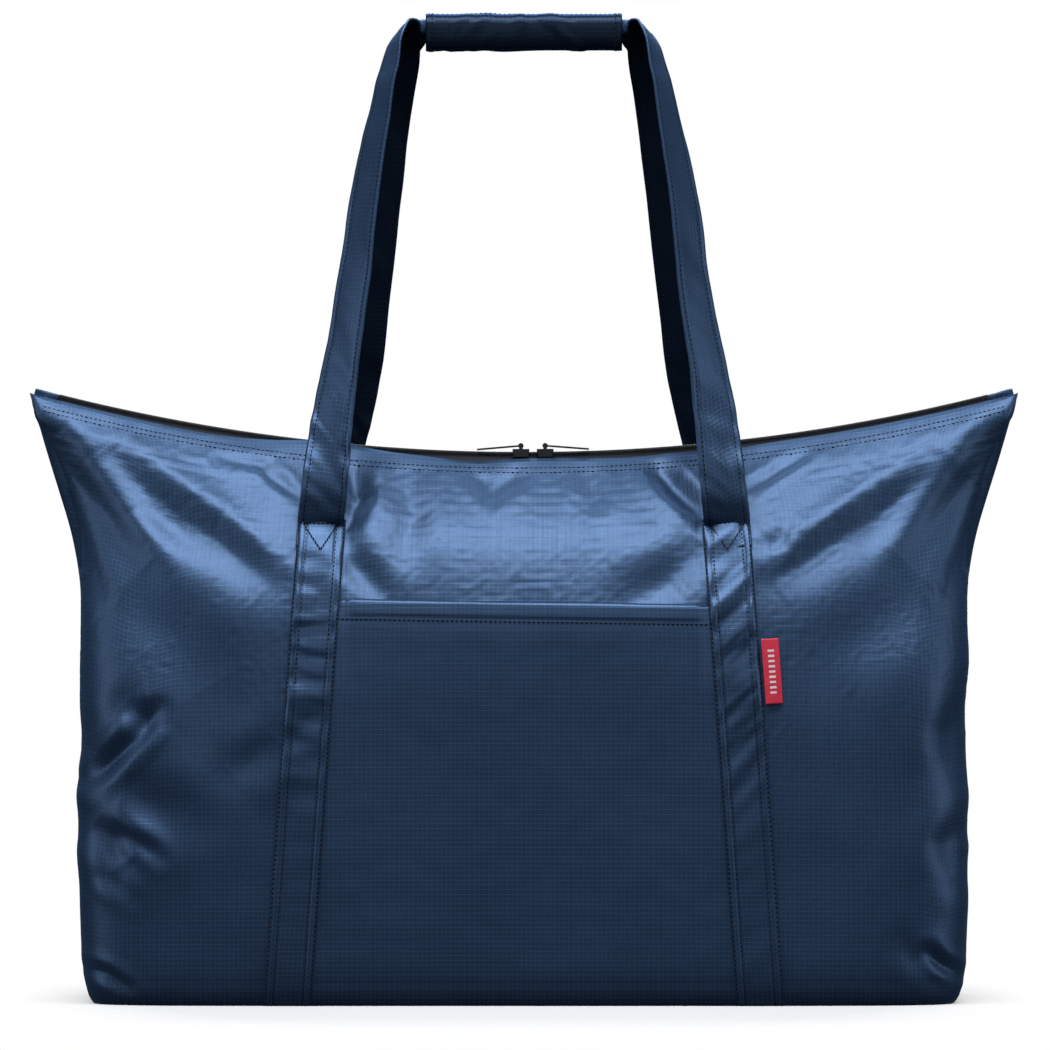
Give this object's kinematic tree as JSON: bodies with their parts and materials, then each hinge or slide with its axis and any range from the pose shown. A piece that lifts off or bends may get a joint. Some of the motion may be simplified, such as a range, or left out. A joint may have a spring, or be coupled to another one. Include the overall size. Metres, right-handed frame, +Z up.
{
  "type": "foldable tote bag",
  "caption": "Soft zipped travel tote in thin ripstop, with a boxed base, two looped handles held in a grip wrap, sewn bands, a patch pocket and an inner stow pouch.",
  "frame": {"origin": "centre of the base, on the surface that the bag stands on", "axes": "+Z up, the pocket side faces -Y, +X to the right as seen from the front"},
  "size_m": [0.65, 0.2114, 0.648],
  "materials": {
    "ripstop_shell": "glossy coated ripstop polyester",
    "ripstop_band": "glossy coated ripstop polyester, folded double",
    "ripstop_strap": "glossy coated ripstop polyester, folded and edge-stitched",
    "ripstop_inside": "coated ripstop polyester",
    "seam_binding": "matt woven binding tape",
    "zip_tape": "matt woven tape",
    "zip_coil": "satin nylon coil",
    "zip_metal": "black lacquered zinc",
    "woven_label": "satin woven label",
    "hook_and_loop": "matt hook and loop tape"
  },
  "bodies": {
    "bag": {"front_panel": "ripstop_shell", "back_panel": "ripstop_shell", "base_panel": "ripstop_inside", "front_pocket": "ripstop_shell", "front_left_band": "ripstop_band", "front_right_band": "ripstop_band", "back_left_band": "ripstop_band", "back_right_band": "ripstop_band", "left_side_binding": "seam_binding", "right_side_binding": "seam_binding", "front_base_binding": "seam_binding", "back_base_binding": "seam_binding", "front_zip_tape": "zip_tape", "back_zip_tape": "zip_tape", "front_zip_coil": "zip_coil", "back_zip_coil": "zip_coil", "left_zip_tab": "ripstop_shell", "right_zip_tab": "ripstop_shell", "stow_pouch": "ripstop_inside", "stow_zip_tape": "zip_tape", "stow_zip_coil": "zip_coil", "front_strap_left_leg": "ripstop_strap", "front_strap_right_leg": "ripstop_strap", "back_strap_left_leg": "ripstop_strap", "back_strap_right_leg": "ripstop_strap"},
    "handle": {"front_strap_top": "ripstop_strap", "back_strap_top": "ripstop_strap", "grip_wrap": "ripstop_strap", "loop_strip": "hook_and_loop"},
    "wrap_flap": {"wrap_flap": "ripstop_strap", "hook_strip": "hook_and_loop"},
    "left_slider": {"left_slider": "zip_metal"},
    "left_pull": {"left_pull": "zip_metal"},
    "right_slider": {"right_slider": "zip_metal"},
    "right_pull": {"right_pull": "zip_metal"},
    "stow_slider": {"stow_slider": "zip_metal"},
    "stow_pull": {"stow_pull": "zip_metal"},
    "side_label": {"side_label": "woven_label"}
  },
  "joints": [
    {"name": "handle_swing", "type": "hinge", "parent": "bag", "child": "handle", "pos_m": [0, 0, 0.375], "axis": [1, 0, 0], "range_deg": [-130, 130], "deforming": ["front_strap_left_leg", "front_strap_right_leg", "back_strap_left_leg", "back_strap_right_leg"]},
    {"name": "wrap_open", "type": "hinge", "parent": "handle", "child": "wrap_flap", "pos_m": [0, 0, 0.6478], "axis": [-1, 0, 0], "range_deg": [0, 160]},
    {"name": "left_slider_travel", "type": "hinge", "parent": "bag", "child": "left_slider", "pos_m": [0, 0, 1.6067], "axis": [0, 1, 0], "range_deg": [0, 13.75]},
    {"name": "left_pull_swing", "type": "hinge", "parent": "left_slider", "child": "left_pull", "pos_m": [-0.00199, 0, 0.3633], "axis": [0, 1, 0], "range_deg": [0, 100]},
    {"name": "right_slider_travel", "type": "hinge", "parent": "bag", "child": "right_slider", "pos_m": [0, 0, 1.6067], "axis": [0, -1, 0], "range_deg": [0, 13.15]},
    {"name": "right_pull_swing", "type": "hinge", "parent": "right_slider", "child": "right_pull", "pos_m": [0.01393, 0, 0.36338], "axis": [0, -1, 0], "range_deg": [0, 100]},
    {"name": "stow_slider_travel", "type": "slide", "parent": "bag", "child": "stow_slider", "axis": [-1, 0, 0], "range_m": [0, 0.14]},
    {"name": "stow_pull_swing", "type": "hinge", "parent": "stow_slider", "child": "stow_pull", "pos_m": [0.0705, 0.06, 0.2683], "axis": [0, 1, 0], "range_deg": [0, 100]},
    {"name": "label_flip", "type": "hinge", "parent": "bag", "child": "side_label", "pos_m": [0.1562, -0.097, 0.195], "axis": [0.0695, -0.0819, -0.9942], "range_deg": [0, 165]}
  ]
}
